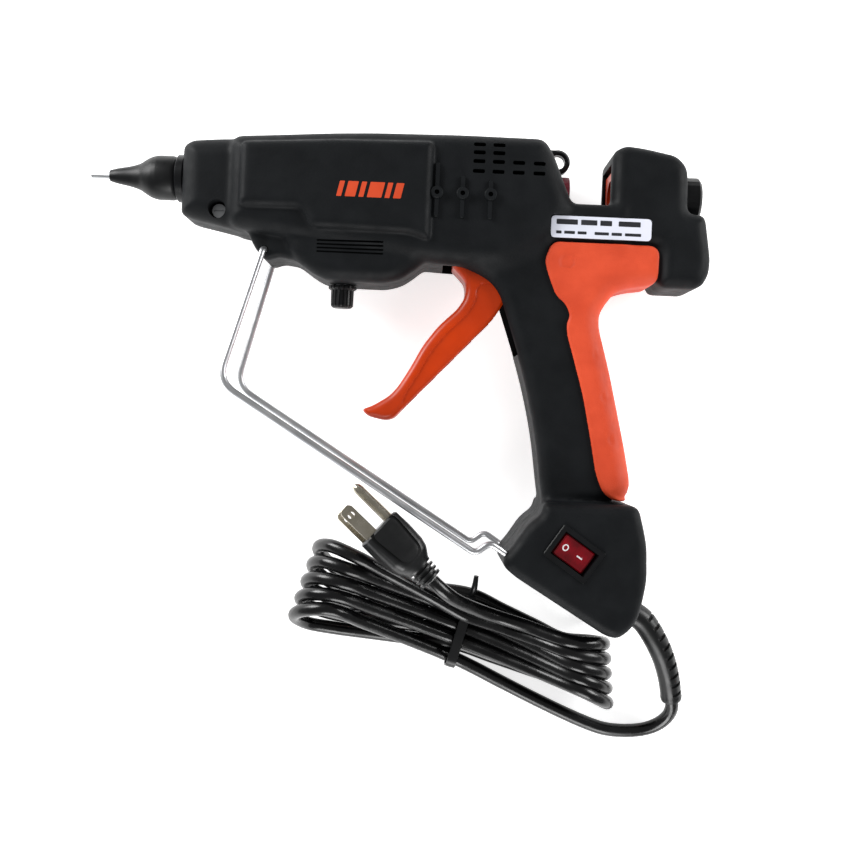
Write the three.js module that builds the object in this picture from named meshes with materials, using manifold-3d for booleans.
// Industrial hot-melt glue gun lying on its right side, with its mains lead tied in a hank beside it.
// Millimetres. +X runs along the barrel to its tail, +Y to the barrel's top, +Z up from the surface that
// it lies on. The glue stick's axis is the line y = 0, z = MID, and the surface is z = 0.
import * as THREE from "three";
import { mergeVertices } from "three/addons/utils/BufferGeometryUtils.js";
import Module from "manifold-3d";

const wasm = await Module();
wasm.setup();

// ---------------------------------------------------------------- driving dimensions
const HALF_WIDTH = 27; // side panels and base, the widest places
const MID = HALF_WIDTH; // height of the parting plane
const BARREL_HALF = HALF_WIDTH - 3.5;
const NOSE_HALF = 19;
const BELLY_HALF = 20;
const TAIL_HALF = 20;
const HANDLE_HALF = 17;
const LUG_HALF = 15.5;
const WALL = 3;
const SPLIT = 0.3; // gap at the parting plane
const FIT = 0.3; // clearance between pieces that touch
const EDGE = 5; // rounding of the housing's long edges

const STICK_DIAMETER = 12.7;
const STICK_BORE = STICK_DIAMETER / 2 + 0.6;
const CHAMBER_RADIUS = STICK_BORE + 3;
const HEATER_RADIUS = 3;
const NOSE_X = -66; // front face of the housing
const CHAMBER_FRONT = -57;
const CHAMBER_REAR = 60;
const SLEEVE_WALL = 1.2;
const SLEEVE_REAR = 110.6;
const RING_FRONT = 163;
const RING_REAR = 171.2;
const RING_RADIUS = STICK_BORE + 3.5;

const HANDLE_LENGTH = 88;
const HANDLE_TOP = [104, -52];
const HANDLE_TILT = THREE.MathUtils.degToRad(-77.6);

const PIVOT = [75, -32]; // trigger pivot
const TRIGGER_SWING = THREE.MathUtils.degToRad(27);
const PIN_RISE = 17.5; // drive pin above the trigger pivot
const PIN_RADIUS = 2;
const TRIGGER_HALF = 12;
const DRIVE_Y = PIVOT[1] + PIN_RISE;
const DRIVE_X = PIVOT[0] + PIN_RISE * Math.tan(TRIGGER_SWING / 2);
const STROKE = 2 * PIN_RISE * Math.tan(TRIGGER_SWING / 2);

const CARRIAGE = { front: 130, rear: 156, low: -STICK_BORE - 2.2, high: 10.6, half: 11.5 };
const LUG_PIN_X = 147.5; // pin that joins the draw bar to the carriage
const BAR_HALF = 2.4;

const KNOB_X = 8;
const KNOB_RADIUS = 5.3;
const BELLY_Y = -46.2;
const WIRE_RADIUS = 1.5;
const STAND_PIVOT = [-27, -33.5];
const RAIL_OFFSET = 24.3; // rails from the parting plane
const SCREW_RADIUS = 1.5;
const SCREW_HEAD = 3.2;
const CORD_DIAMETER = 6.4;
const HANK_HEIGHT = 39;

// ---------------------------------------------------------------- solids
function solid(geometry) {
  const bare = geometry.index ? geometry.clone() : geometry;
  bare.deleteAttribute("normal");
  bare.deleteAttribute("uv");
  const merged = mergeVertices(bare, 1e-4);
  const mesh = new wasm.Mesh({
    numProp: 3,
    vertProperties: new Float32Array(merged.attributes.position.array),
    triVerts: new Uint32Array(merged.index.array),
  });
  return new wasm.Manifold(mesh);
}

// A closed outline whose corners [x, y, radius] are rounded where they give a radius.
function outline(corners) {
  const shape = new THREE.Shape();
  corners.forEach(([x, y, radius = 0], i) => {
    const here = new THREE.Vector2(x, y);
    const before = new THREE.Vector2(...corners.at(i - 1).slice(0, 2)).sub(here);
    const after = new THREE.Vector2(...corners[(i + 1) % corners.length].slice(0, 2)).sub(here);
    const half = Math.acos(before.dot(after) / (before.length() * after.length())) / 2;
    const reach = Math.min(radius / Math.tan(half), 0.48 * before.length(), 0.48 * after.length());
    const start = here.clone().addScaledVector(before.normalize(), reach);
    const end = here.clone().addScaledVector(after.normalize(), reach);
    if (i === 0) shape.moveTo(start.x, start.y);
    else shape.lineTo(start.x, start.y);
    if (radius > 0) shape.quadraticCurveTo(x, y, end.x, end.y);
  });
  shape.closePath();
  return shape;
}

// A plate of the outline, as far on one side of the parting plane as on the other.
function slab(corners, half, edge = 0, rings = 2) {
  const geometry = new THREE.ExtrudeGeometry(outline(corners), {
    depth: 2 * (half - edge),
    curveSegments: 3,
    bevelEnabled: edge > 0,
    bevelThickness: edge,
    bevelSize: edge,
    bevelOffset: -edge,
    bevelSegments: rings,
  });
  geometry.translate(0, 0, MID - half + edge);
  return solid(geometry);
}

function plate(corners, low, high) {
  const geometry = new THREE.ExtrudeGeometry(outline(corners), {
    depth: high - low, curveSegments: 3, bevelEnabled: false,
  });
  geometry.translate(0, 0, low);
  return solid(geometry);
}

function block(x0, x1, y0, y1, z0, z1) {
  const geometry = new THREE.BoxGeometry(x1 - x0, y1 - y0, z1 - z0);
  geometry.translate((x0 + x1) / 2, (y0 + y1) / 2, (z0 + z1) / 2);
  return solid(geometry);
}

// A cylinder along an axis, from one place on it to another, around a centre given by the other two.
function rod(axis, radius, from, to, centre, sides = 20) {
  const geometry = new THREE.CylinderGeometry(radius, radius, to - from, sides);
  geometry.translate(0, (from + to) / 2, 0);
  if (axis === "x") geometry.rotateZ(-Math.PI / 2).translate(0, centre[0], centre[1]);
  if (axis === "y") geometry.translate(centre[0], 0, centre[1]);
  if (axis === "z") geometry.rotateX(Math.PI / 2).translate(centre[0], centre[1], 0);
  return solid(geometry);
}

// A turned piece around the stick's axis from [along, radius] pairs: front to rear outside, and back inside.
function turned(profile, sides = 24) {
  const points = profile.map(([along, radius]) => new THREE.Vector2(radius, along));
  if (profile[0][1] > 0) points.push(points[0].clone());
  const geometry = new THREE.LatheGeometry(points, sides);
  geometry.rotateZ(-Math.PI / 2).translate(0, 0, MID);
  return solid(geometry);
}

function ring(front, rear, inner, outer, sides = 24) {
  return turned([[front, inner], [front, outer], [rear, outer], [rear, inner]], sides);
}

// A path that keeps exactly the points it is given, so that a tube along it turns only at its bends.
class Path extends THREE.Curve {
  constructor(points) {
    super();
    this.points = points;
  }
  getPoint(t, target = new THREE.Vector3()) {
    const place = t * (this.points.length - 1);
    const i = Math.min(Math.floor(place), this.points.length - 2);
    return target.copy(this.points[i]).lerp(this.points[i + 1], place - i);
  }
  getPointAt(t, target) {
    return this.getPoint(t, target);
  }
  getTangentAt(t, target = new THREE.Vector3()) {
    const last = this.points.length - 1;
    const i = Math.round(t * last);
    const ahead = this.points[Math.min(i + 1, last)].clone().sub(this.points[i]).normalize();
    const behind = this.points[i].clone().sub(this.points[Math.max(i - 1, 0)]).normalize();
    return target.copy(ahead).add(behind).normalize();
  }
}

// The corners of a bent wire, each replaced by an arc-like bend of a given reach.
function bends(corners, steps = 3) {
  const points = [corners[0].at];
  for (let i = 1; i < corners.length - 1; i += 1) {
    const { at, reach } = corners[i];
    const start = at.clone().add(corners[i - 1].at.clone().sub(at).setLength(reach));
    const end = at.clone().add(corners[i + 1].at.clone().sub(at).setLength(reach));
    const bend = new THREE.QuadraticBezierCurve3(start, at, end);
    points.push(...bend.getPoints(steps));
  }
  points.push(corners.at(-1).at);
  return points;
}

function tube(points, radius, sides = 8) {
  const section = new THREE.Shape(
    Array.from({ length: sides }, (_, i) => {
      const angle = (2 * Math.PI * i) / sides;
      return new THREE.Vector2(radius * Math.cos(angle), radius * Math.sin(angle));
    }),
  );
  const path = new Path(points);
  return solid(new THREE.ExtrudeGeometry(section, { steps: points.length - 1, extrudePath: path }));
}

function smooth(points, steps) {
  const curve = new THREE.CatmullRomCurve3(points.map((p) => new THREE.Vector3(...p)), false, "centripetal");
  return curve.getSpacedPoints(steps);
}

const addAll = (solids) => solids.reduce((sum, piece) => sum.add(piece));
const cutAll = (body, tools) => tools.reduce((rest, tool) => rest.subtract(tool), body);
const capsule = (a, b, radius) => {
  const along = new THREE.Vector2(b[0] - a[0], b[1] - a[1]).setLength(radius);
  const [x, y] = [along.x, along.y];
  return [
    [a[0] - x + y, a[1] - y - x, radius], [b[0] + x + y, b[1] + y - x, radius],
    [b[0] + x - y, b[1] + y + x, radius], [a[0] - x - y, a[1] - y + x, radius],
  ];
};

// Places along the handle: a share of its length from its top, and a distance towards its back.
function grip(share, across) {
  const along = share * HANDLE_LENGTH;
  const [c, s] = [Math.cos(HANDLE_TILT), Math.sin(HANDLE_TILT)];
  return [HANDLE_TOP[0] + along * c - across * s, HANDLE_TOP[1] + along * s + across * c];
}
const beyond = (distance, across) => grip(1 + distance / HANDLE_LENGTH, across);
// Places in the base, from the lower end of the handle's centre line.
const FOOT = grip(1, 0);
const foot = (x, y) => [FOOT[0] + x, FOOT[1] + y];

// ---------------------------------------------------------------- assembly and finishes
const gun = new THREE.Group();
const finish = (color, roughness, metalness = 0) => ({ color, roughness, metalness });
const HOUSING = finish(0x1c1e20, 0.55);
const SOFT = finish(0xe0562f, 0.7);
const ORANGE = finish(0xc8400c, 0.5);
const STEEL = finish(0xb4b4b0, 0.3, 1);
const ALUMINIUM = finish(0xc4c6c8, 0.4, 1);
const BLACK_RUBBER = finish(0x141516, 0.6);
const SILICONE = finish(0x732832, 0.6);
const CERAMIC = finish(0xe6e2d8, 0.7);
const BOARD = finish(0x2a6b3c, 0.5);
const LABEL = finish(0xdcdeeb, 0.4);
const ROCKER = finish(0x8c0616, 0.25);
const NICKEL = finish(0xb8b4a8, 0.3, 1);

function add(name, piece, look) {
  const { vertProperties, triVerts } = piece.getMesh();
  const geometry = new THREE.BufferGeometry();
  geometry.setAttribute("position", new THREE.BufferAttribute(vertProperties, 3));
  geometry.setIndex(new THREE.BufferAttribute(triVerts, 1));
  geometry.computeVertexNormals();
  const mesh = new THREE.Mesh(geometry, new THREE.MeshStandardMaterial(look));
  mesh.name = name;
  gun.add(mesh);
  return piece;
}

// ---------------------------------------------------------------- outlines of the housing
const NOSE_OUTLINE = [
  [NOSE_X, 12.4], [-62, 15.3], [-50, 16.4], [-38, 17], [-34, 10], [-34, -20], [-38, -25.2], [-50, -22.6],
  [-62, -20.2], [NOSE_X, -18.4],
];
const BARREL_OUTLINE = [
  [-44, 17], [-28, 18], [4, 20.3], [22, 21.1], [60, 21.8], [97.3, 21.6], [101.8, 14.8], [111.4, -8.4],
  [105, -21.5], [92, -31], [80, -37], [58, -37], [43, -36.2], [-28, -26.4], [-44, -24.2],
];
const PANEL_OUTLINE = [
  [-38, 13], [4, 15.6], [47.7, 16.6], [47.7, -28], [37.8, -25], [-5.4, -24.1], [-10.3, -15.7], [-38, -16],
];
const BELLY_OUTLINE = [
  [-20, -24], [-15, -36], [-7.5, -41.4], [-2.7, -44.4], [3, BELLY_Y], [28, BELLY_Y], [35, -44.2], [40, -40.8],
  [45, -36.5], [48, -24],
];
const LUG_OUTLINE = [
  [-37, -22], [-31.5, -32.6], [-26.3, -38.4], [-20.5, -36.4], [-10, -37.8], [-8, -24],
];
const BRIDGE_OUTLINE = [[100, -4], [110, -7], [136, -7], [136, -24], [100, -24]];
const TAIL_OUTLINE = [
  [128.5, 15.6], [129.6, 17.9], [134, 20.4], [143.4, 19.4], [157.5, 16.7], [162.4, 11.4], [RING_FRONT, 2],
  [RING_FRONT, -9], [171.2, -9.4], [172.6, -18], [174.4, -30], [173.8, -36.5], [171.2, -41.2], [167.6, -43],
  [151.2, -43], [151.2, -24], [128.5, -24],
];
const NECK_OUTLINE = [
  [62, -30], [66, -37.2], [79, -46], grip(0.03, -21.4), grip(0.25, -19.1), grip(0.47, -17.8),
  grip(0.68, -17.8), grip(0.89, -19.2), beyond(2, -19.8), beyond(5, 19.2), grip(0.81, 19.6),
  grip(0.38, 18.8), grip(0.17, 17.6), grip(0.09, 18.8), [131, -44.6], [139, -41.6], [152, -39.8],
  [156, -22], [104, -22],
];
const BASE_OUTLINE = [
  foot(-19.5, -3.5), foot(-20.6, -8.8), foot(-26.4, -13.7), foot(-32.5, -23.3), foot(-36.5, -28.1),
  foot(-36.3, -32.8), foot(-31, -37.2), foot(10, -61.6), foot(15.5, -62.9), foot(20.7, -59.1),
  foot(24.6, -53.1), foot(26.4, -44), foot(27.6, -36.1), foot(26.9, -20.7), foot(24.7, -11.5),
  foot(22.4, -3.5),
];
const PAD_OUTLINE = [
  [102.4, -24.6, 8], [150.8, -24.6, 8], [150.8, -42.4], [139, -44.4], [131.9, -47.7], [128, -52.3],
  grip(0.11, 20.8),
  grip(0.17, 19.9), grip(0.38, 21.3), grip(0.6, 21.8), grip(0.81, 22.2), beyond(4.5, 21.6), beyond(6.6, 19),
  beyond(5, 12), beyond(0, 7.2), grip(0.9, 5.6), grip(0.7, 6), grip(0.49, 6), grip(0.28, 4.6),
  grip(0.18, 3.8), grip(0.12, 4.3), grip(0.08, 6.6), grip(0.02, 5.6), [105.1, -48.7], [101.5, -39.9],
  [99.4, -33],
];

// ---------------------------------------------------------------- glue path
const TIP_REAR = -66.5;
add("nozzle_sleeve", turned([
  [-102, 2.2], [-102, 2.9], [-98.7, 3.5], [-93, 4.7], [-90.3, 5.3], [-87.6, 6.2], [-84.8, 8.1], [-82, 9.5],
  [-79, 10.2], [-70.7, 10.2], [-70.7, 6], [-84, 6], [-86.5, 2.2],
]), HOUSING);
add("nozzle_tip", turned([
  [-110.8, 0.7], [-110.8, 1.5], [-87, 1.5], [-83.4, 5], [TIP_REAR, 5], [TIP_REAR, 0.7],
], 16), STEEL);
add("nose_collar", ring(-70.4, NOSE_X - FIT, 6.2, 10.9), HOUSING);

const chamber = turned([
  [CHAMBER_FRONT - 9, 2.2], [CHAMBER_FRONT - 9, 5.4], [CHAMBER_FRONT, 5.4], [CHAMBER_FRONT, CHAMBER_RADIUS],
  [CHAMBER_REAR - 8, CHAMBER_RADIUS], [CHAMBER_REAR - 8, STICK_BORE + 1], [CHAMBER_REAR, STICK_BORE + 1],
  [CHAMBER_REAR, STICK_BORE], [-34, STICK_BORE], [-46, 2.2],
]);
const HEATER_Y = -CHAMBER_RADIUS - HEATER_RADIUS;
const heaterBoss = block(-24, 34, HEATER_Y - HEATER_RADIUS - 1.8, -STICK_BORE - 1, MID - 6, MID + 6);
const heaterBore = rod("x", HEATER_RADIUS + FIT, -26, 36, [HEATER_Y, MID]);
const stickBore = rod("x", STICK_BORE, -34, CHAMBER_REAR + 1, [0, MID], 24);
add("melt_chamber", cutAll(chamber.add(heaterBoss), [heaterBore, stickBore]), ALUMINIUM);
add("heater_element", rod("x", HEATER_RADIUS, -21, 38, [HEATER_Y, MID], 16), STEEL);
add("thermal_fuse", rod("x", 2, -6, 8, [CHAMBER_RADIUS + 2 + FIT, MID], 12), STEEL);
add("front_insulator", ring(-56.5, -52.5, CHAMBER_RADIUS + FIT, CHAMBER_RADIUS + 2.6), CERAMIC);
add("rear_insulator", ring(48, 52, CHAMBER_RADIUS + FIT, CHAMBER_RADIUS + 3.4), CERAMIC);
const SLEEVE_INNER = STICK_BORE + 1 + FIT;
const SLEEVE_OUTER = SLEEVE_INNER + SLEEVE_WALL;
add("inlet_sleeve", turned([
  [CHAMBER_REAR - 7.5, SLEEVE_INNER], [CHAMBER_REAR - 7.5, SLEEVE_OUTER], [CHAMBER_REAR + 1, SLEEVE_OUTER],
  [CHAMBER_REAR + 3, STICK_BORE + SLEEVE_WALL], [SLEEVE_REAR, STICK_BORE + SLEEVE_WALL],
  [SLEEVE_REAR, STICK_BORE], [CHAMBER_REAR + 2, STICK_BORE],
  [CHAMBER_REAR + FIT, SLEEVE_INNER],
]), SILICONE);
add("sleeve_clamp", ring(CHAMBER_REAR - 6, CHAMBER_REAR - 2, SLEEVE_OUTER + FIT, SLEEVE_OUTER + 1.3), STEEL);
add("inlet_ring", turned([
  [RING_FRONT - 6, STICK_BORE + 0.3], [RING_FRONT - 6, RING_RADIUS - 1.5],
  [RING_FRONT + FIT, RING_RADIUS - 1.5], [RING_FRONT + FIT, RING_RADIUS],
  [RING_REAR - 1.2, RING_RADIUS], [RING_REAR, RING_RADIUS - 1.2],
  [RING_REAR, STICK_BORE + 1.5], [RING_REAR - 3, STICK_BORE + 0.3],
]), HOUSING);

// ---------------------------------------------------------------- feed: carriage, jaw, draw bar and pins
const JAW_PIN = [150, 8.3];
const lugCheeks = [-1, 1].map((side) => {
  const near = MID + side * (BAR_HALF + FIT);
  const far = MID + side * 6.6;
  return block(LUG_PIN_X - 4.5, LUG_PIN_X + 4.5, DRIVE_Y - 4.5, CARRIAGE.low + 1, Math.min(near, far),
    Math.max(near, far));
});
const jawPocket = block(136, 154, STICK_BORE - 1.5, CARRIAGE.high + 1, MID - 3.2, MID + 3.2);
const carriageBody = block(CARRIAGE.front, CARRIAGE.rear, CARRIAGE.low, CARRIAGE.high, MID - CARRIAGE.half,
  MID + CARRIAGE.half);
add("feed_carriage", cutAll(addAll([carriageBody, ...lugCheeks]), [
  rod("x", STICK_BORE + 0.4, CARRIAGE.front - 1, CARRIAGE.rear + 1, [0, MID], 24),
  jawPocket,
  rod("z", 1 + FIT, MID - 7.5, MID + 7.5, JAW_PIN, 12),
  rod("z", 1.5 + FIT, MID - 8, MID + 8, [LUG_PIN_X, DRIVE_Y], 14),
]), ORANGE);
const jawOutline = [
  [JAW_PIN[0] + 2.4, JAW_PIN[1] + 1.6], [138.4, JAW_PIN[1] + 1.6], [137.4, STICK_BORE + 0.3],
  [140.6, STICK_BORE + 0.6], [JAW_PIN[0] + 2.4, JAW_PIN[1] - 1.7],
];
add("grip_jaw", slab(jawOutline, 2.8).subtract(rod("z", 1 + FIT, MID - 4, MID + 4, JAW_PIN, 12)), STEEL);
add("jaw_pin", rod("z", 1, MID - 7, MID + 7, JAW_PIN, 12), STEEL);
add("draw_bar", cutAll(slab([
  [DRIVE_X - 4, DRIVE_Y - 3.4, 2], [LUG_PIN_X + 4, DRIVE_Y - 3.4, 2], [LUG_PIN_X + 4, DRIVE_Y + 3.4, 2],
  [DRIVE_X - 4, DRIVE_Y + 3.4, 2],
], BAR_HALF), [
  rod("z", PIN_RADIUS + FIT, MID - 5, MID + 5, [DRIVE_X, DRIVE_Y], 16),
  rod("z", 1.5 + FIT, MID - 5, MID + 5, [LUG_PIN_X, DRIVE_Y], 14),
]), STEEL);
const SPRING = { radius: 2.2, wire: 0.45, turns: 7, y: DRIVE_Y - 1, seat: 57 };
const springFront = SPRING.seat + SPRING.wire + FIT;
const springRear = DRIVE_X - 4 - SPRING.wire - FIT;
const springPath = Array.from({ length: SPRING.turns * 8 + 1 }, (_, i) => {
  const angle = (i * Math.PI) / 4;
  const along = springFront + ((springRear - springFront) * i) / (SPRING.turns * 8);
  const [y, z] = [SPRING.radius * Math.cos(angle), SPRING.radius * Math.sin(angle)];
  return new THREE.Vector3(along, SPRING.y + y, MID + z);
});
add("return_spring", tube(springPath, SPRING.wire, 6), STEEL);
add("drive_pin", rod("z", PIN_RADIUS, MID - 9.4, MID + 9.4, [DRIVE_X, DRIVE_Y], 16), STEEL);
add("carriage_pin", rod("z", 1.5, MID - 7.2, MID + 7.2, [LUG_PIN_X, DRIVE_Y], 14), STEEL);

// ---------------------------------------------------------------- trigger and its pivot pin
const TRIGGER_OUTLINE = [
  [57.6, -36.2], [61, -39.4], [64.3, -43], [65, -47], [64.4, -51], [61.6, -55.8], [52.8, -64.4],
  [46.1, -73.7], [41.5, -82.9], [36.1, -92.1], [32.3, -96.7], [24.9, -101.5], [19.6, -103.6],
  [22.8, -106.6], [30.6, -108.2],
  [34.4, -107.2], [79, -58.8], [84, -50], [84.5, -38], [81, -28], [74, -24.6], [64, -27.2],
];
const TRIGGER_HOLLOW = [
  [70, -44], [69.6, -51.5], [65.4, -58.6], [56.4, -67.4], [50, -76], [45.4, -85], [38.6, -96.6], [37, -108],
  [96, -62], [92, -43],
];
const fork = capsule(PIVOT, [DRIVE_X + 0.9, DRIVE_Y + 0.8], 4.4);
const slotReach = Math.hypot(DRIVE_X - PIVOT[0], PIN_RISE);
const slotEnd = (distance) => [
  PIVOT[0] + ((DRIVE_X - PIVOT[0]) * distance) / slotReach, PIVOT[1] + (PIN_RISE * distance) / slotReach,
];
const pinSlot = capsule(slotEnd(PIN_RISE - 0.4), slotEnd(slotReach + 0.4), PIN_RADIUS + 0.5);
const triggerHollow = slab(TRIGGER_HOLLOW, TRIGGER_HALF - 2.6);
const triggerLever = slab(TRIGGER_OUTLINE, TRIGGER_HALF, 2, 1).subtract(triggerHollow);
const triggerBody = cutAll(triggerLever.add(slab(fork, 8.4)), [
  slab(capsule(slotEnd(11), slotEnd(30), 9), BAR_HALF + 1.2),
  slab(pinSlot, 12),
  rod("z", PIN_RADIUS + FIT, MID - 14, MID + 14, PIVOT, 16),
]);
add("trigger", triggerBody, ORANGE);
add("trigger_pivot_pin", rod("z", PIN_RADIUS, MID - 18, MID + 18, PIVOT, 16), STEEL);

// ---------------------------------------------------------------- wire stand
const wireCorner = (xy, side, offset, reach) => ({
  at: new THREE.Vector3(xy[0], xy[1], MID + side * offset), reach,
});
const RAIL_END = foot(-49.3, -27.3);
const CROSSBAR = foot(-33.2, -28.6);
const wireSide = (side) => [
  wireCorner(STAND_PIVOT, side, 9, 0),
  wireCorner(STAND_PIVOT, side, 18.2, 2.6),
  wireCorner([-43.4, -94], side, RAIL_OFFSET, 9),
  wireCorner(RAIL_END, side, RAIL_OFFSET, 2.6),
  wireCorner(foot(-42.8, -22.4), side, RAIL_OFFSET, 2.6),
  wireCorner(CROSSBAR, side, RAIL_OFFSET - 2.6, 4),
];
const wirePath = bends([...wireSide(1), ...wireSide(-1).reverse()]);
add("stand_wire", tube(wirePath, WIRE_RADIUS), STEEL);
const wireRoom = tube(wirePath, WIRE_RADIUS + 0.5);

// ---------------------------------------------------------------- knob, potentiometer and board
add("temperature_knob", solid(new THREE.LatheGeometry([
  [0, -57], [4.4, -57], [KNOB_RADIUS, -56.2], [KNOB_RADIUS, -48.6], [6.5, -48.2], [6.5, BELLY_Y - FIT - 0.2],
  [3.3, BELLY_Y - FIT - 0.2], [3.3, -53], [0, -53],
].map(([r, y]) => new THREE.Vector2(r, y)), 20).translate(KNOB_X, 0, MID)), HOUSING);
const BOARD_Y = -33.6;
const potShaft = rod("y", 3, -52.6, BOARD_Y - 4, [KNOB_X, MID], 16);
const potCase = block(KNOB_X - 7, KNOB_X + 7, BOARD_Y - 6.5, BOARD_Y - FIT, MID - 7, MID + 7);
add("potentiometer", potCase.add(potShaft), STEEL);
add("control_board", block(-6.5, 36, BOARD_Y, BOARD_Y + 1.6, MID - 14, MID + 14), BOARD);

// ---------------------------------------------------------------- rocker switch
const SWITCH = { at: foot(-5.6, -25.5), turn: THREE.MathUtils.degToRad(-34), long: 21, wide: 15, deep: 18 };
function switchBox(long, wide, low, high) {
  const geometry = new THREE.BoxGeometry(long, wide, high - low);
  geometry.rotateZ(SWITCH.turn).translate(SWITCH.at[0], SWITCH.at[1], (low + high) / 2);
  return solid(geometry);
}
const faceZ = MID + HALF_WIDTH;
const switchShell = switchBox(SWITCH.long - 2 * FIT, SWITCH.wide - 2 * FIT, faceZ - SWITCH.deep, faceZ - 0.8);
const rockerRoom = switchBox(16.6, 10.8, faceZ - 9, faceZ + 2);
add("switch_body", switchShell.subtract(rockerRoom), HOUSING);
const rockerProfile = [[-7.2, -5.6], [7.2, -5.6], [7.2, -1.9], [0, -3], [-7.2, 0.2]];
const rockerGeometry = new THREE.ExtrudeGeometry(outline(rockerProfile), { depth: 9.8, bevelEnabled: false });
rockerGeometry.translate(0, 0, -4.9).rotateX(Math.PI / 2);
rockerGeometry.rotateZ(SWITCH.turn).translate(SWITCH.at[0], SWITCH.at[1], faceZ);
add("switch_rocker", solid(rockerGeometry), ROCKER);

// ---------------------------------------------------------------- hanging loop and label
const LOOP_RADIUS = 5.7;
const LOOP_GAP = 0.85; // between the loop and the inlet sleeve
const LOOP_AT = [105.1, STICK_BORE + SLEEVE_WALL + LOOP_GAP + LOOP_RADIUS];
const LOOP = { at: LOOP_AT, hole: 3.3, outer: LOOP_RADIUS, half: 3 };
const loopShape = (grow) => addAll([
  rod("z", LOOP.outer + grow, MID - LOOP.half - grow, MID + LOOP.half + grow, LOOP.at, 24),
  block(93 - grow, LOOP.at[0], 12.6 - grow, 18.6 + grow, MID - LOOP.half - grow, MID + LOOP.half + grow),
]);
const loopHole = rod("z", LOOP.hole, MID - 5, MID + 5, LOOP.at, 20);
add("hanging_loop", loopShape(0).subtract(loopHole), HOUSING);
const LABEL_BOX = { at: [123.9, -18.1], long: 45, high: 9.8, deep: 0.8 };
const labelOutline = (grow) => {
  const [w, h] = [LABEL_BOX.long / 2 + grow, LABEL_BOX.high / 2 + grow];
  const [x, y] = LABEL_BOX.at;
  return [[x - w, y - h, 2], [x + w, y - h, 2], [x + w, y + h, 2], [x - w, y + h, 2]];
};
const labelTop = MID + TAIL_HALF;
const labelFloor = labelTop - LABEL_BOX.deep;
add("label_plate", plate(labelOutline(0), labelFloor + FIT, labelTop), LABEL);

// ---------------------------------------------------------------- cord: strain relief, lead, hank, tail, tie
const RELIEF_RADIUS = 5.3;
const RELIEF_ROUTE = [
  [...foot(12, -41.2), MID], [...foot(18.2, -47.2), MID], [...foot(24.8, -53.4), MID],
  [...foot(31.3, -57.85), MID - 0.3], [...foot(37.9, -67.05), MID - 1.6], [...foot(43.1, -77.05), MID - 4.6],
  [...foot(46.7, -87.25), MID - 8.6], [...foot(48.9, -96.45), MID - 12.4],
];
const reliefPath = RELIEF_ROUTE.map((place) => new THREE.Vector3(...place));
const reliefRoom = tube(reliefPath.slice(0, 4), RELIEF_RADIUS + 0.4, 14);
add("strain_relief", tube(reliefPath, RELIEF_RADIUS, 12), BLACK_RUBBER);
const clampAt = foot(13.2, -42.4);
const clampGeometry = new THREE.BoxGeometry(6, 18, 18).rotateZ(THREE.MathUtils.degToRad(-45));
clampGeometry.translate(clampAt[0], clampAt[1], MID);
add("cord_clamp", solid(clampGeometry).subtract(reliefRoom), HOUSING);

const LEAD_ROUTE = [
  [171.96, -235.1, 14.3], [172.7, -238.4, 12.8], [172.3, -242.7, 10], [170.2, -246.8, 7.2],
  [166.6, -250.1, 5], [161.8, -252.3, 3.8], [156.5, -253.3, 3.5], [151.2, -253.6, 3.5],
  [145.3, -253.4, 3.5], [139.9, -252.5, 3.5],
  [131, -249.6, 3.5], [120.7, -245.5, 3.5], [110.5, -241.1, 3.5], [99.8, -236.3, 3.5], [88.9, -231.3, 3.5],
  [78.5, -226.4, 3.5], [73.5, -223.4, 3.6],
];
const HANK_OUTLINE = [
  [3.4, -161, 8], [-5.4, -182], [-8.4, -203, 12], [16.3, -215], [37.4, -217.4], [58.4, -218.8], [68, -221],
  [100, -230], [126, -240], [141.4, -243.4, 10], [138, -203, 10], [113.8, -193.2], [87.6, -194.6],
  [74.2, -190.4], [59.6, -190], [40.6, -182.6], [21.1, -164.8, 10],
];
const TIE = { at: [70.8, -205.6], turn: THREE.MathUtils.degToRad(-14.5), reach: 16.4, wide: 3, thick: 1.1 };
function tieBox(grow, wide) {
  const low = 0.1 + TIE.thick - grow;
  const geometry = new THREE.BoxGeometry(wide, 2 * (TIE.reach + grow), HANK_HEIGHT - TIE.thick + grow - low);
  geometry.rotateZ(TIE.turn).translate(TIE.at[0], TIE.at[1], (HANK_HEIGHT - TIE.thick + grow + low) / 2);
  return solid(geometry);
}
add("cord_tie", tieBox(TIE.thick, TIE.wide).subtract(tieBox(0, TIE.wide + 4)), BLACK_RUBBER);
const tieRoom = tieBox(TIE.thick + 4, TIE.wide + 2 * FIT).subtract(tieBox(-FIT, TIE.wide + 4));
add("cord_hank", plate(HANK_OUTLINE, 0, HANK_HEIGHT).subtract(tieRoom), BLACK_RUBBER);
const hankRoom = plate(HANK_OUTLINE.map(([x, y, r]) => {
  const away = new THREE.Vector2(x - TIE.at[0], y - TIE.at[1]);
  away.setLength(away.length() + 2 * FIT);
  return [TIE.at[0] + away.x, TIE.at[1] + away.y, r];
}), -1, HANK_HEIGHT + FIT).add(tieBox(TIE.thick + FIT, TIE.wide + 2 * FIT));
add("cord_lead", tube(smooth(LEAD_ROUTE, 34), CORD_DIAMETER / 2, 10).subtract(hankRoom), BLACK_RUBBER);

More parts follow.
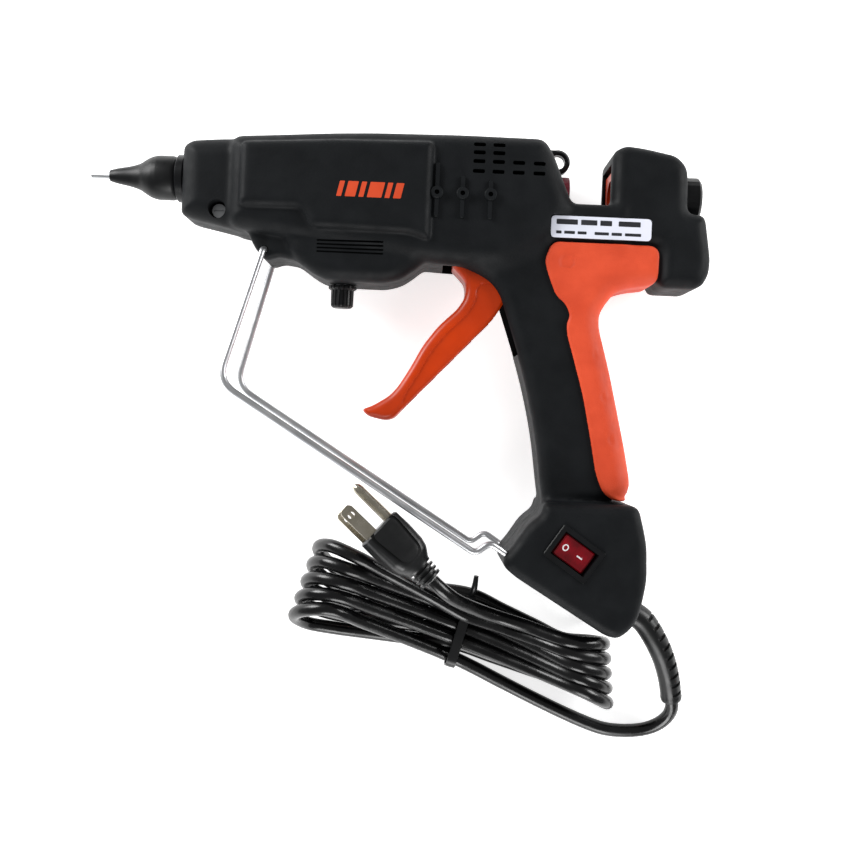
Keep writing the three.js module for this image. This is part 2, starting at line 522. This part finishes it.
// ---------------------------------------------------------------- plug, lying on the hank
const PLUG = { at: [30, -156.1, HANK_HEIGHT + 10.3], turn: THREE.MathUtils.degToRad(138.4), half: 10 };
const BLADE = { offset: 5.4, apart: 12.7, wide: 6.3, thick: 1.5, long: 17 };
const GROUND = { offset: -6.5, radius: 2.4, long: 21 };
const PIN_ROOT = -8;
function placePlug(geometry) {
  return solid(geometry.rotateZ(PLUG.turn).translate(...PLUG.at));
}
function bladeAt(side, grow) {
  const long = BLADE.long - PIN_ROOT;
  const box = new THREE.BoxGeometry(long + 2 * grow, BLADE.wide + 2 * grow, BLADE.thick + 2 * grow);
  return placePlug(box.translate(PIN_ROOT + long / 2, BLADE.offset, (side * BLADE.apart) / 2));
}
function groundAt(grow) {
  const long = GROUND.long - PIN_ROOT;
  const radius = GROUND.radius + grow;
  const pin = new THREE.CylinderGeometry(radius, radius, long + 2 * grow, 16).rotateZ(-Math.PI / 2);
  return placePlug(pin.translate(PIN_ROOT + long / 2, GROUND.offset, 0));
}
const PLUG_OUTLINE = [
  [0, -10], [0, 10], [-18, 9.6], [-25, 7.6], [-27.5, 6.4], [-33, 6.4], [-33, -6.4], [-27.5, -6.4], [-25, -9],
];
const plugGeometry = new THREE.ExtrudeGeometry(outline(PLUG_OUTLINE), {
  depth: 2 * (PLUG.half - 3),
  bevelEnabled: true,
  bevelThickness: 3,
  bevelSize: 2,
  bevelOffset: -2,
  bevelSegments: 2,
});
const plugPins = [bladeAt(1, FIT), bladeAt(-1, FIT), groundAt(FIT)];
add("plug_body", cutAll(placePlug(plugGeometry.translate(0, 0, -PLUG.half + 3)), plugPins), BLACK_RUBBER);
const bladeHole = (side) => {
  const hole = new THREE.CylinderGeometry(1.6, 1.6, 4, 12).rotateX(Math.PI / 2);
  return placePlug(hole.translate(BLADE.long - 4.5, BLADE.offset, (side * BLADE.apart) / 2));
};
add("plug_blade_upper", bladeAt(1, 0).subtract(bladeHole(1)), NICKEL);
add("plug_blade_lower", bladeAt(-1, 0).subtract(bladeHole(-1)), NICKEL);
add("plug_ground_pin", groundAt(0), NICKEL);
const TAIL_ROUTE = [
  [55.2, -178.5, HANK_HEIGHT + 10.3], [57.6, -180.6, HANK_HEIGHT + 10.2], [61.8, -184.2, HANK_HEIGHT + 8.4],
  [66.8, -187.9, HANK_HEIGHT + 3.9], [72, -191, HANK_HEIGHT - 1.5],
];
add("cord_tail", tube(smooth(TAIL_ROUTE, 8), CORD_DIAMETER / 2, 10).subtract(hankRoom), BLACK_RUBBER);

// ---------------------------------------------------------------- screws, each through both shells
const SCREWS = [
  { name: "nose_screw", at: [-48.6, -16.4], side: 1, half: NOSE_HALF },
  { name: "barrel_front_screw", at: [-32, -17.5], side: -1, half: BARREL_HALF },
  { name: "barrel_rear_screw", at: [88, 17], side: -1, half: BARREL_HALF },
  { name: "neck_screw", at: [97, -24.5], side: -1, half: BARREL_HALF },
  { name: "tail_screw", at: [161, -34], side: -1, half: TAIL_HALF },
  { name: "handle_screw", at: grip(0.72, -12.4), side: -1, half: HANDLE_HALF },
  { name: "base_screw", at: foot(19.5, -19.5), side: -1, half: HALF_WIDTH },
];
const HEAD_DEPTH = 9; // head's outer face below the shell's side
function screwParts({ at, side, half }) {
  const along = (a, b) => [MID + side * a, MID + side * b].sort((low, high) => low - high);
  const span = (radius, a, b, sides = 14) => rod("z", radius, ...along(a, b), at, sides);
  const seat = half - HEAD_DEPTH;
  const slot = block(at[0] - 2.2, at[0] + 2.2, at[1] - 0.4, at[1] + 0.4, ...along(seat + 1, seat + 3));
  return {
    body: span(SCREW_HEAD, seat, seat + 2).add(span(SCREW_RADIUS, seat + 0.5, -8)).subtract(slot),
    boss: span(SCREW_HEAD + 2.2, half - 2, -half + 2, 16),
    holes: [span(SCREW_RADIUS + FIT, half, -8 - FIT), span(SCREW_HEAD + 0.8, seat - FIT, half + 4)],
  };
}
const screws = SCREWS.map((screw) => ({ ...screw, ...screwParts(screw) }));
screws.forEach(({ name, body }) => add(name, body, STEEL));

// ---------------------------------------------------------------- housing shells
const hull = addAll([
  slab(NOSE_OUTLINE, NOSE_HALF, EDGE),
  slab(BARREL_OUTLINE, BARREL_HALF, EDGE),
  slab(PANEL_OUTLINE, HALF_WIDTH, 3, 1),
  slab(BELLY_OUTLINE, BELLY_HALF, EDGE),
  slab(LUG_OUTLINE, LUG_HALF, 2, 1),
  slab(BRIDGE_OUTLINE, TAIL_HALF, 3, 1),
  slab(TAIL_OUTLINE, TAIL_HALF, 4),
  slab(NECK_OUTLINE, HANDLE_HALF, EDGE),
  slab(BASE_OUTLINE, HALF_WIDTH, 4),
]);
const CHANNEL_TOP = 12.6;
const hollows = [
  slab([[NOSE_X + WALL, 9], [-56, 12.6], [-36, 13.4], [-30, -20], [-50, -18.6], [NOSE_X + WALL, -15]],
    NOSE_HALF - WALL, 3, 1),
  slab([
    [-38, 13.4], [4, 16.6], [60, 18.2], [94, 18], [98.4, 12.6], [106.4, -7], [106.4, -20], [100, -30],
    [58, -32.6], [42, -32.4], [-24, -22.6], [-38, -20.8],
  ], BARREL_HALF - WALL, 3, 1),
  slab([[-14, -22], [-8, -36], [3, BELLY_Y + WALL + 1], [28, BELLY_Y + WALL + 1], [38, -38], [43, -22]],
    BELLY_HALF - WALL, 3, 1),
  slab([[96, DRIVE_Y + 3.5], [150, DRIVE_Y + 3.5], [150, DRIVE_Y - 6], [96, DRIVE_Y - 6]], 7.4),
  block(CARRIAGE.front - STROKE - 1, CARRIAGE.rear + 1, CARRIAGE.low - 0.4, CHANNEL_TOP,
    MID - CARRIAGE.half - 0.5, MID + CARRIAGE.half + 0.5),
  block(LUG_PIN_X - 4.5 - STROKE - 1, CARRIAGE.rear + 1, DRIVE_Y - 5.5, 0, MID - 7.4, MID + 7.4),
  slab([[154, -22], [167, -14], [170, -30], [168, -39.6], [155, -39.6]], TAIL_HALF - WALL, 2, 1),
  slab([
    [62, -28], [80, -41], grip(0.03, -17.4), grip(0.25, -15.4), grip(0.47, -14.2), grip(0.68, -14.2),
    beyond(10, -15), beyond(10, 14), grip(0.38, 14), grip(0.15, 13), [128, -42], [146, -36], [146, -28],
    [106, -26],
  ], HANDLE_HALF - WALL, 2, 1),
  slab([
    foot(-15, -2), foot(-16, -10), foot(-22, -16), foot(-28.6, -27), foot(-28.6, -33.4), foot(13.6, -58.6),
    foot(20.4, -52), foot(23, -36), foot(22.4, -20), foot(19, -2),
  ], HALF_WIDTH - WALL, 3, 1),
];
const openings = [
  rod("x", 7, NOSE_X - 2, NOSE_X + WALL + 1, [0, MID], 24),
  rod("x", STICK_BORE + SLEEVE_WALL + 0.5, 98, 116, [0, MID], 24),
  rod("x", RING_RADIUS - 1.1, CARRIAGE.rear, RING_REAR, [0, MID], 24),
  rod("x", RING_RADIUS + 0.4, RING_FRONT, RING_REAR + 6, [0, MID], 24),
  slab([
    [52, -26], [54.5, -40], [62, -52], [80, -52], grip(0.22, -24), grip(0.24, -12), [100, -44], [100, -26],
  ], TRIGGER_HALF + 0.8),
  rod("y", 3.6, BELLY_Y - 2, BELLY_Y + WALL + 3, [KNOB_X, MID], 20),
  loopShape(FIT),
  wireRoom,
  reliefRoom,
];

const VENT = { long: 5.4, high: 1.8, columns: [68, 76.7, 85.7, 94.9], rows: [16.3, 12.6, 8.7, 4.3] };
const vents = VENT.columns.flatMap((x, column) =>
  VENT.rows.slice(column < 2 ? 0 : 2).flatMap((y) =>
    [-1, 1].map((side) => {
      const low = side > 0 ? MID + BARREL_HALF - WALL - 2 : 0;
      return block(x - VENT.long / 2, x + VENT.long / 2, y - VENT.high / 2, y + VENT.high / 2, low,
        low + MID - BARREL_HALF + WALL + 2);
    })));

const POSTS = [{ x: 49.8, top: 7 }, { x: 61.2, top: 1.5 }, { x: 73.6, top: 0 }];
const posts = POSTS.map(({ x, top }) =>
  addAll([
    rod("z", 2.7, MID - BARREL_HALF - 2.4, MID + BARREL_HALF + 2.4, [x, -6.2], 16),
    block(x - 0.9, x + 0.9, -17, top, MID - BARREL_HALF - 1.4, MID + BARREL_HALF + 1.4),
  ]).subtract(rod("z", 1.1, MID + BARREL_HALF - 1, MID + BARREL_HALF + 4, [x, -6.2], 12)));

const springSeat = block(SPRING.seat - 3, SPRING.seat, DRIVE_Y - 6, -CHAMBER_RADIUS, 5, 2 * MID - 5);
const pivotBoss = rod("z", 5, 8, 2 * MID - 8, PIVOT, 16);
const pivotBore = rod("z", PIN_RADIUS + FIT, MID - 18.4, MID + 18.4, PIVOT, 16);
const barRoom = slab([
  [DRIVE_X - 8, DRIVE_Y - 4.4], [LUG_PIN_X + 5, DRIVE_Y - 4.4], [LUG_PIN_X + 5, DRIVE_Y + 4.4],
  [DRIVE_X - 8, DRIVE_Y + 4.4],
], BAR_HALF + 2);
const triggerRoom = rod("z", 24, MID - TRIGGER_HALF - 0.8, MID + TRIGGER_HALF + 0.8, PIVOT, 24);
const bosses = addAll(screws.map(({ boss }) => boss)).intersect(addAll(hollows).add(hull));
const chamberRoom = rod("x", CHAMBER_RADIUS + 3.8, NOSE_X + WALL, 96, [0, MID], 24);
const switchHole = switchBox(SWITCH.long, SWITCH.wide, faceZ - SWITCH.deep - 1, faceZ + 2);
const labelHole = plate(labelOutline(FIT), labelFloor, labelTop + 2);
const ribs = addAll([bosses, pivotBoss.subtract(triggerRoom), springSeat]);
const structure = cutAll(cutAll(hull.add(addAll(posts)), hollows).add(ribs), [
  ...openings, ...vents, pivotBore, chamberRoom, barRoom, ...screws.flatMap(({ holes }) => holes),
]);
function sideOf(side) {
  const [low, high] = side > 0 ? [MID + SPLIT / 2, 150] : [-50, MID - SPLIT / 2];
  return block(-200, 300, -300, 100, low, high);
}

// ---------------------------------------------------------------- grip pads
const padRoom = slab(NECK_OUTLINE, HANDLE_HALF + FIT, EDGE);
const pads = slab(PAD_OUTLINE, HANDLE_HALF + 2, 3).subtract(padRoom);
add("left_grip_pad", pads.intersect(sideOf(1)), SOFT);
add("right_grip_pad", pads.intersect(sideOf(-1)), SOFT);
add("left_shell", structure.intersect(sideOf(1)).subtract(switchHole).subtract(labelHole), HOUSING);
add("right_shell", structure.intersect(sideOf(-1)), HOUSING);

export default gun;
